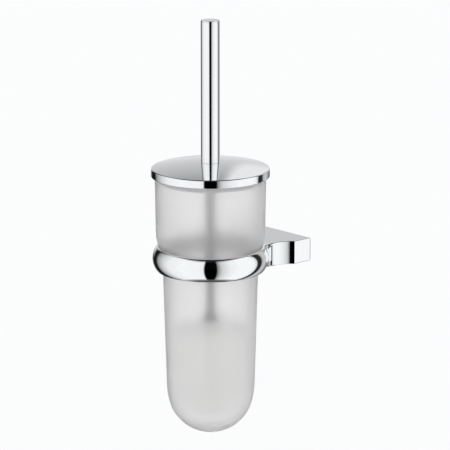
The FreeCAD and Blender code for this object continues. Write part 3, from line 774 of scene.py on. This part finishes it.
shell_outline = (
    [(STEM_HOLE, LID_SEAT - LID_WALL), (HANDLE_RADIUS, LID_SEAT - LID_WALL)]
    + dome(LID_WALL, DOME_START, LID_INNER, 16)
    + eased([
        (LID_INNER, BAND_TOP - BAND_RUN),
        (LID_INNER, LID_FOOT, 0.3),
        (LID_OUTER, LID_FOOT, 0.45),
        (LID_OUTER, BAND_TOP, LID_EDGE),
        dome(0, LID_OUTER - EDGE_RUN, LID_OUTER, 1)[0],
    ])[1:]
    + dome(0, LID_OUTER - EDGE_RUN, HANDLE_RADIUS, 30)[1:]
    + [(STEM_HOLE, LID_SEAT)]
)
lid_shell = turned("domed_lid", held(shell_outline, 0.3), LID_STEPS)
keep_edges(lid_shell, 50)
plated_chrome = chrome("plated_chrome", 0.03, 180.0)
dress(lid_shell, plated_chrome, "brush", "chrome", "lid_shell")

PLATE_UNDER = 85.7
BOSS_RADIUS = 10.5
FLANGE = 53.49
FLANGE_FOOT = 81.6
SKIRT_OUTER, SKIRT_INNER = 47.12, 45.12
SKIRT_FOOT = 72.8
PLATE_WALL = 3.0
LINER_DEPTH = LID_WALL + SEAM
PLATE_DEPTH = LINER_DEPTH + PLATE_WALL
plate_dome = dome(PLATE_DEPTH, BOSS_RADIUS, SKIRT_INNER, 12)
liner_outline = (
    eased([
        (STEM_HOLE, LID_SEAT - LINER_DEPTH),
        (STEM_HOLE, PLATE_UNDER),
        (BOSS_RADIUS, PLATE_UNDER, 0.4),
        plate_dome[0],
    ])
    + plate_dome[1:-1]
    + eased([
        plate_dome[-2],
        (*plate_dome[-1], 0.8),
        (SKIRT_INNER, SKIRT_FOOT, 0.7),
        (SKIRT_OUTER, SKIRT_FOOT, 0.7),
        (SKIRT_OUTER, FLANGE_FOOT, 0.4),
        (FLANGE, FLANGE_FOOT, 0.4),
        dome(LINER_DEPTH, FLANGE, FLANGE - EDGE_RUN, 1)[0],
    ])[1:]
    + dome(LINER_DEPTH, FLANGE, DOME_START, 20)[1:]
    + [(HANDLE_RADIUS, LID_SEAT - LINER_DEPTH)]
)
white_plastic = plastic("white_plastic", (0.80, 0.80, 0.78), (0.87, 0.87, 0.86), 0.38, {})
lid_liner = turned("lid_skirt_liner", held(liner_outline, 0.15), LINER_STEPS)
keep_edges(lid_liner, 50)
dress(lid_liner, white_plastic, "brush", "white_plastic", "lid_liner")

# ---- Handle ----
# A straight chromed tube stands on the dome. A thin turned cap is pressed into its top, and a brass
# insert in its foot takes the stem's thread.

tube_low, tube_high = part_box("handle_tube")
cap_low, cap_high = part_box("handle_cap")
HANDLE_BORE = 7.5
TUBE_FOOT, TUBE_TOP = tube_low.z / MM, tube_high.z / MM
CAP_TOP, CAP_FOOT = cap_high.z / MM, cap_low.z / MM
tube_outline = eased([
    (HANDLE_BORE, TUBE_FOOT, 0.15),
    (HANDLE_RADIUS, TUBE_FOOT, 0.35),
    (HANDLE_RADIUS, TUBE_TOP, 0.3),
    (HANDLE_BORE, TUBE_TOP, 0.1),
])
handle_tube = turned("handle_rod", held(tube_outline, 0.3), HANDLE_STEPS)
dress(handle_tube, plated_chrome, "brush", "chrome", "handle_tube")
cap_outline = eased([
    (0, CAP_FOOT),
    (HANDLE_BORE, CAP_FOOT, 0.6),
    (HANDLE_BORE, TUBE_TOP),
    (HANDLE_RADIUS, TUBE_TOP, 0.3),
    (HANDLE_RADIUS, CAP_TOP, 0.5),
    (0, CAP_TOP),
])
cap_outline = held(cap_outline, 0.15, closed=False)
handle_cap = turned("handle_end_cap", cap_outline, HANDLE_STEPS, closed=False)
keep_edges(handle_cap, 50)
dress(handle_cap, plated_chrome, "brush", "chrome", "handle_cap")
finish_node("handle_insert", brass)

# ---- Stem, washer and nut ----
# A stainless rod joins the handle to the brush head. Its upper thread is screwed into the handle's
# insert through the lid, which a washer and nut clamp; the head screws on to its lower thread.

stem_low, stem_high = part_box("brush_stem")
nut_low, nut_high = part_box("lid_nut")
head_washer_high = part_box("head_washer")[1]
STEM_RADIUS = 5.0
UPPER_THREAD, LOWER_THREAD = 4.0, 3.95
PITCH = 1.25
THREAD_ROWS = 8
THREAD_LEAD = 0.7  # bevelled off the thread's ends
THREAD_DEPTH = 0.55  # for each millimetre of pitch, were its root sharp
THREAD_ROOT = 0.86  # of that depth, where the root is flat
ON_FACE = 0.01
STEM_STEPS, WASHER_STEPS = 64, 96
stem_levels = [stem_low.z / MM, head_washer_high.z / MM, nut_low.z / MM, stem_high.z / MM]


def thread_rows(radius, low, high):
    """A straight outline with enough rows on it to carry a thread."""
    rows = round((high - low) / PITCH * THREAD_ROWS)
    return [(radius, low + (high - low) * row / rows) for row in range(rows + 1)]


def cut_thread(piece, radius, low, high):
    """Sinks a right-hand V groove into a round face, running out at both its ends."""
    for vertex in piece.data.vertices:
        arm = Vector((vertex.co.x - AXIS.x, vertex.co.y - AXIS.y))
        level = vertex.co.z / MM
        if low < level < high and abs(arm.length / MM - radius) < ON_FACE:
            phase = (level / PITCH - math.atan2(arm.y, arm.x) / (2 * math.pi)) % 1
            groove = THREAD_DEPTH * PITCH * min(1 - abs(2 * phase - 1), THREAD_ROOT)
            groove *= min(1, (level - low) / PITCH, (high - level) / PITCH)
            arm *= (radius - groove) / radius
            vertex.co.x, vertex.co.y = AXIS.x + arm.x, AXIS.y + arm.y


lower_thread = (LOWER_THREAD, stem_levels[0] + THREAD_LEAD, stem_levels[1])
upper_thread = (UPPER_THREAD, stem_levels[2], stem_levels[3] - THREAD_LEAD)
stem_outline = (
    [(0, stem_levels[0]), (LOWER_THREAD - THREAD_LEAD, stem_levels[0])]
    + thread_rows(*lower_thread)
    + eased([
        (LOWER_THREAD, stem_levels[1]),
        (STEM_RADIUS, stem_levels[1], 0.3),
        (STEM_RADIUS, stem_levels[2], 0.5),
    ])[1:]
    + thread_rows(*upper_thread)
    + [(UPPER_THREAD - THREAD_LEAD, stem_levels[3]), (0, stem_levels[3])]
)
stem = turned("threaded_stem", stem_outline, STEM_STEPS, closed=False)
cut_thread(stem, *lower_thread)
cut_thread(stem, *upper_thread)
keep_edges(stem, 60)
# The stem's steel is coloured near black, far darker than bare steel. This is painted shade that deepens the
# dark stripe down the middle of the glass.
shade_darkened_steel = metal("shade_darkened_steel", (0.09, 0.092, 0.096), (0.15, 0.152, 0.156), 0.32, 900.0, (1, 1, 0.03))
dress(stem, shade_darkened_steel, "brush", "steel", "brush_stem")


def plain_ring(name, node, inner, rounding):
    """A washer with eased edges, as large as its node."""
    low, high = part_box(node)
    outer = high.x / MM
    corners = [(inner, low.z), (outer, low.z), (outer, high.z), (inner, high.z)]
    return turned(name, held(eased([(r, z / MM, rounding) for r, z in corners]), 0.08), WASHER_STEPS)


lid_washer = plain_ring("lid_clamp_washer", "lid_washer", STEM_HOLE, 0.25)
dress(lid_washer, bright_steel, "brush", "steel", "lid_washer")

NUT_FLATS = 13.0
NUT_CHAMFER = 30.0
NUT_FACE_INSET = 0.3  # of its round faces inside the flats
nut_foot, nut_top = nut_low.z / MM, nut_high.z / MM
nut_corner = NUT_FLATS / math.sqrt(3)
chamfer_start = NUT_FLATS / 2 - NUT_FACE_INSET
chamfer_end = nut_corner + ON_FACE
shape = bmesh.new()
nut_rings = []
for height in (nut_foot, nut_top):
    ring = []
    for corner in range(6):
        angle = math.radians(60 * corner)
        x, y = nut_corner * math.cos(angle) * MM, nut_corner * math.sin(angle) * MM
        ring.append(shape.verts.new((AXIS.x + x, AXIS.y + y, height * MM)))
    nut_rings.append(ring)
for corner in range(6):
    after = (corner + 1) % 6
    shape.faces.new((nut_rings[0][corner], nut_rings[0][after], nut_rings[1][after], nut_rings[1][corner]))
shape.faces.new(nut_rings[0])
shape.faces.new(nut_rings[1])
nut = new_piece("clamp_nut", shape)
chamfer_drop = (nut_corner - chamfer_start) * math.tan(math.radians(NUT_CHAMFER))
chamfer_outline = [
    (0, nut_foot),
    (chamfer_start, nut_foot),
    (chamfer_end, nut_foot + chamfer_drop),
    (chamfer_end, nut_top - chamfer_drop),
    (chamfer_start, nut_top),
    (0, nut_top),
]
carve(nut, turned("nut_chamfers", chamfer_outline, WASHER_STEPS, closed=False), "INTERSECT")
bore_start, bore_end = (AXIS.x, AXIS.y, nut_low.z - MM), (AXIS.x, AXIS.y, nut_high.z + MM)
carve(nut, rod("nut_bore", bore_start, bore_end, UPPER_THREAD * MM))
keep_edges(nut, 25)
dress(nut, bright_steel, "brush", "steel", "lid_nut")

rubber = plastic("seal_rubber", (0.018, 0.018, 0.02), (0.035, 0.035, 0.037), 0.75, {})
head_washer = plain_ring("rubber_head_washer", "head_washer", STEM_HOLE, 0.35)
dress(head_washer, rubber, "head_washer", "seal_rubber", "head_washer")

# ---- Brush head's core ----
# Moulded in white plastic round a brass insert that takes the stem's thread, with a bare neck above
# the bristles and a round foot. The bristles are punched into it in tufts.

core_low, core_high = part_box("brush_core")
CORE_RADIUS = core_high.x / MM
CORE_FOOT, CORE_TOP = core_low.z / MM, core_high.z / MM
CORE_ROUND = 3.0
INSERT_RADIUS = 6.2
INSERT_FOOT = CORE_TOP - 12.0
NECK_RUN = 20.0
core_outline = (
    [(0, CORE_FOOT)]
    + arc((CORE_RADIUS - CORE_ROUND, CORE_FOOT + CORE_ROUND), CORE_ROUND, -90, 0, 8)
    + eased([
        (CORE_RADIUS, CORE_TOP - NECK_RUN),
        (CORE_RADIUS, CORE_TOP, 0.8),
        (INSERT_RADIUS, CORE_TOP, 0.1),
        (INSERT_RADIUS, INSERT_FOOT),
        (0, INSERT_FOOT),
    ])
)
core = turned("brush_head_core", held(core_outline, 0.2, closed=False), WASHER_STEPS, closed=False)
keep_edges(core, 50)
dress(core, white_plastic, "brush_head", "white_plastic", "brush_core")
finish_node("core_insert", brass)

# ---- Bristles ----
# Tufts of white nylon, spread and trimmed to a cylinder at the side and to a round end that follows
# the glass's bottom. Each tuft fans out from its hole in the core.

GOLDEN_ANGLE = math.pi * (3 - math.sqrt(5))
FOOT_POWER = 8.0  # how late the core's round foot pulls the roots in
BRISTLE_POINTS, BRISTLE_SIDES = 4, 3


def tuft_tree():
    """Geometry Nodes that fan bristles out of a core, to a cylinder at roundness 0 or a dome at 1."""
    tree = bpy.data.node_groups.new("tufts", "GeometryNodeTree")
    tree.is_modifier = True
    sockets = {}
    tree.interface.new_socket("Geometry", in_out="OUTPUT", socket_type="NodeSocketGeometry")
    for name, kind in (
        ("Tufts", "Int"), ("Bristles", "Int"), ("Seed", "Int"), ("Core Radius", "Float"), ("Reach", "Float"),
        ("Start Height", "Float"), ("End Depth", "Float"), ("Root Depth", "Float"), ("Roundness", "Float"),
        ("Spread", "Float"), ("Thickness", "Float"), ("Bend", "Float"), ("Axis", "Vector"),
        ("Material", "Material"),
    ):
        socket = tree.interface.new_socket(name, in_out="INPUT", socket_type="NodeSocket" + kind)
        sockets[name] = socket.identifier
    size = dict(zip(sockets, add(tree, "NodeGroupInput", outlet=tuple(sockets))))

    def vector(x, y, z):
        return add(tree, "ShaderNodeCombineXYZ", {}, {"X": x, "Y": y, "Z": z})

    def summed(first, second):
        return add(tree, "ShaderNodeVectorMath", {"operation": "ADD"}, {0: first, 1: second})

    def scaled(first, scale):
        return add(tree, "ShaderNodeVectorMath", {"operation": "SCALE"}, {0: first, "Scale": scale})

    index = add(tree, "GeometryNodeInputIndex")
    tuft = (index / size["Bristles"]).math("FLOOR")
    share = (tuft + 0.5) / size["Tufts"]
    turn = tuft * GOLDEN_ANGLE
    around = vector(turn.math("COSINE"), turn.math("SINE"), 0.0)

    # the hole in the core, and the point that the tuft aims at
    taper = 1 - size["Roundness"] * share.math("POWER", FOOT_POWER)
    root_height = size["Start Height"] - size["Root Depth"] * share
    root = summed(scaled(around, size["Core Radius"] * taper.math("SQRT")), vector(0.0, 0.0, root_height))
    dip = (1 - size["Roundness"] * share * share).math("SQRT")
    tip_height = size["Start Height"] - size["End Depth"] * share
    tip = summed(scaled(around, size["Reach"] * dip), vector(0.0, 0.0, tip_height))

    # each bristle strays from it, and is trimmed to the cylinder or the dome
    stray = add(
        tree,
        "FunctionNodeRandomValue",
        {"data_type": "FLOAT_VECTOR"},
        {0: (-1.0, -1.0, -1.0), 1: (1.0, 1.0, 1.0), "ID": index, "Seed": size["Seed"]},
    )
    tip = summed(tip, scaled(stray, size["Spread"]))
    tip_x, tip_y, tip_z = add(tree, "ShaderNodeSeparateXYZ", {}, {0: tip}, ("X", "Y", "Z"))
    lowest = size["Start Height"] - size["End Depth"]
    level = tip_z.math("MINIMUM", size["Start Height"]).math("MAXIMUM", lowest)
    middle = vector(0.0, 0.0, level + (size["Start Height"] - level) * size["Roundness"])
    arm = summed(vector(tip_x, tip_y, level), scaled(middle, -1.0))
    arm = add(tree, "ShaderNodeVectorMath", {"operation": "NORMALIZE"}, {0: arm})
    tip = summed(middle, scaled(arm, size["Reach"]))
    run = summed(tip, scaled(root, -1.0))
    length = add(tree, "ShaderNodeVectorMath", {"operation": "LENGTH"}, {0: run}, "Value")

    # one bristle a unit long, slightly bowed
    line = add(tree, "GeometryNodeCurvePrimitiveLine", {}, {"Start": (0, 0, 0), "End": (0, 0, 1)})
    line = add(tree, "GeometryNodeResampleCurve", {}, {"Curve": line, "Count": BRISTLE_POINTS})
    section = add(tree, "GeometryNodeCurvePrimitiveCircle", {}, {"Resolution": BRISTLE_SIDES, "Radius": 1.0})
    swept = {"Curve": line, "Profile Curve": section, "Fill Caps": True}
    bristle = add(tree, "GeometryNodeCurveToMesh", {}, swept)
    along = add(tree, "ShaderNodeSeparateXYZ", {}, {0: add(tree, "GeometryNodeInputPosition")}, "Z")
    bow = vector((along * math.pi).math("SINE") * size["Bend"], 0.0, 0.0)
    bristle = add(tree, "GeometryNodeSetPosition", {}, {"Geometry": bristle, "Offset": bow})

    # all of them, each turned at random about its own length
    points = add(tree, "GeometryNodeMeshLine", {}, {"Count": size["Tufts"] * size["Bristles"]})
    at_root = {"Geometry": points, "Position": summed(root, size["Axis"])}
    grown = {
        "Points": add(tree, "GeometryNodeSetPosition", {}, at_root),
        "Instance": bristle,
        "Rotation": add(tree, "FunctionNodeAlignRotationToVector", {"axis": "Z"}, {"Vector": run}),
        "Scale": vector(size["Thickness"], size["Thickness"], length),
    }
    bristles = add(tree, "GeometryNodeInstanceOnPoints", {}, grown)
    spin = add(
        tree,
        "FunctionNodeRandomValue",
        {"data_type": "FLOAT"},
        {2: 0.0, 3: 2 * math.pi, "ID": index, "Seed": size["Seed"] + 1},
        1,
    )
    spun = {"Instances": bristles, "Rotation": vector(0.0, 0.0, spin)}
    solid = add(tree, "GeometryNodeRealizeInstances", {}, {
        "Geometry": add(tree, "GeometryNodeRotateInstances", {}, spun)
    })
    solid = add(tree, "GeometryNodeSetMaterial", {}, {"Geometry": solid, "Material": size["Material"]})
    add(tree, "NodeGroupOutput", {}, {0: solid})
    return tree, sockets


NYLON_GLOW = 0.16  # stands in for the light that tufts scatter among themselves
nylon = plastic("white_nylon", (0.90, 0.90, 0.89), (0.97, 0.97, 0.96), 0.42, {
    "Transmission Weight": 0.1,
    "Emission Color": WHITE,
    "Emission Strength": NYLON_GLOW,
})
tufts, tuft_sockets = tuft_tree()


def brush(name, node, values):
    """Grows the bristles that stand for a node and leaves them as a plain mesh."""
    piece = bpy.data.objects.new(name, bpy.data.meshes.new(name))
    bpy.context.scene.collection.objects.link(piece)
    modifier = piece.modifiers.new("tufts", "NODES")
    modifier.node_group = tufts
    for socket, value in values.items():
        modifier[tuft_sockets[socket]] = value
    modifier[tuft_sockets["Material"]] = nylon
    modifier[tuft_sockets["Axis"]] = tuple(AXIS)
    mesh = bpy.data.meshes.new_from_object(piece.evaluated_get(bpy.context.evaluated_depsgraph_get()))
    piece.modifiers.clear()
    piece.data = mesh
    dress(piece, nylon, "brush_head", "bristles", node)


side_low, side_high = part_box("side_bristles")
tip_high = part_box("tip_bristles")[1]
BRISTLE = 0.22 * MM  # in radius
ROOT_SINK = 0.6 * MM
bristle_reach = side_high.x - BRISTLE
common = {
    "Bristles": 26,
    "Core Radius": core_high.x - ROOT_SINK,
    "Reach": bristle_reach,
    "Thickness": BRISTLE,
    "Bend": 5.0,  # in bristle thicknesses
    "Spread": 0.006,
}
brush("side_tufts", "side_bristles", {
    **common,
    "Tufts": 224,
    "Seed": 11,
    "Start Height": side_high.z - BRISTLE,
    "End Depth": side_high.z - side_low.z,
    "Root Depth": side_high.z - side_low.z,
    "Roundness": 0.0,
})
brush("tip_tufts", "tip_bristles", {
    **common,
    "Tufts": 150,
    "Seed": 23,
    "Start Height": tip_high.z,
    "End Depth": bristle_reach,
    "Root Depth": tip_high.z - core_low.z - ROOT_SINK,
    "Roundness": 1.0,
})
